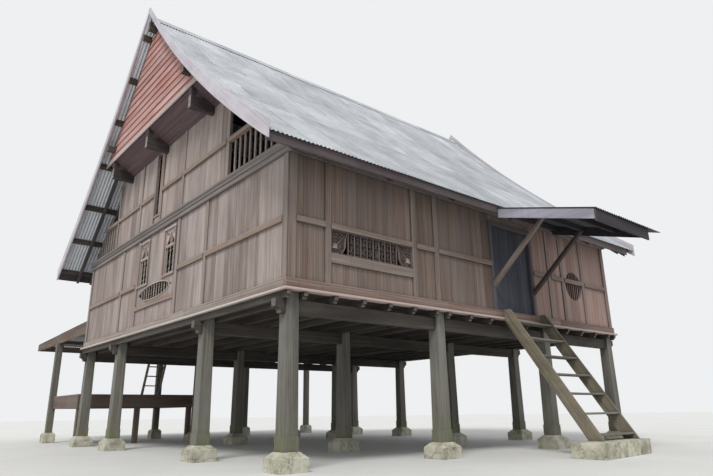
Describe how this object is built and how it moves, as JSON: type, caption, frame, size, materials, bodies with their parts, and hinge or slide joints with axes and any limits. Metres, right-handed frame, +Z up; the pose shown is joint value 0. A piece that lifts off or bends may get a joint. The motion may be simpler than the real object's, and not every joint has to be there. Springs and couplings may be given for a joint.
{
  "type": "stilt house",
  "caption": "Timber stilt house on tall posts with a steep sagging gable roof, boarded walls, carved windows, a double door, a porch stair and a low back roof over a deck.",
  "frame": {"origin": "centre of the underside of the front left footing, the post that the grid is set out from", "axes": "+X along the front to the right as seen from the front, +Y from the front to the back, +Z up"},
  "size_m": [10.73, 18.082, 10.04],
  "materials": {
    "post_wood": "weathered rough-sawn timber, green near the ground",
    "frame_wood": "weathered sawn timber",
    "floor_wood": "worn boards",
    "ledge_wood": "weathered planed boards, lighter than the walls",
    "wall_wood": "weathered vertical boards",
    "trim_wood": "weathered planed battens",
    "screen_wood": "weathered overlapping boards with a faded pink-red stain",
    "barge_wood": "pale weathered board, faded grey paint",
    "door_wood": "worn dark blue-grey paint",
    "porch_wood": "weathered planed boards",
    "stair_wood": "grey weathered boards",
    "deck_wood": "weathered red-brown boards",
    "roof_metal": "weathered galvanised corrugated sheet, dull grey with rust at the laps",
    "concrete": "pale cast concrete with moss and damp stains"
  },
  "bodies": {
    "house": {"footings": "concrete", "outer_posts": "post_wood", "inner_posts": "post_wood", "floor_bearers": "frame_wood", "floor_joists": "frame_wood", "floor_boards": "floor_wood", "sill_boards": "ledge_wood", "front_wall_left": "wall_wood", "front_wall_over_door": "wall_wood", "front_wall_right": "wall_wood", "left_wall": "wall_wood", "right_wall": "wall_wood", "rear_wall": "wall_wood", "tie_band": "ledge_wood", "wall_plates": "frame_wood", "attic_beams": "frame_wood", "cross_ties": "frame_wood", "king_posts": "frame_wood", "ridge_beam": "frame_wood", "rafters": "frame_wood", "purlins": "frame_wood", "front_roof": "roof_metal", "rear_roof": "roof_metal", "ridge_cap": "roof_metal", "eave_fascias": "trim_wood", "bargeboards": "barge_wood", "gable_walls": "wall_wood", "gable_slats": "trim_wood", "gable_screens": "screen_wood", "screen_beams": "ledge_wood", "screen_trim": "trim_wood", "gable_soffits": "frame_wood", "front_battens": "trim_wood", "side_battens": "trim_wood", "rear_battens": "trim_wood", "wall_rails": "trim_wood", "door_frame": "trim_wood", "rear_door": "wall_wood", "porch_roof": "roof_metal", "porch_frame": "porch_wood", "porch_struts": "porch_wood", "stair_stringers": "stair_wood", "stair_treads": "stair_wood", "stair_slab": "concrete", "back_roof": "roof_metal", "back_roof_frame": "frame_wood", "back_posts": "post_wood", "deck_boards": "deck_wood", "deck_frame": "deck_wood", "back_ladder": "deck_wood"},
    "left_leaf": {"door_leaf_left": "door_wood"},
    "right_leaf": {"door_leaf_right": "door_wood"}
  },
  "joints": [
    {"name": "left_door_hinge", "type": "hinge", "parent": "house", "child": "left_leaf", "pos_m": [4.7835, -0.0795, 3.5275], "axis": [0, 0, 1], "range_deg": [0, 90]},
    {"name": "right_door_hinge", "type": "hinge", "parent": "house", "child": "right_leaf", "pos_m": [6.0065, -0.0795, 3.5275], "axis": [0, 0, -1], "range_deg": [0, 90]}
  ]
}
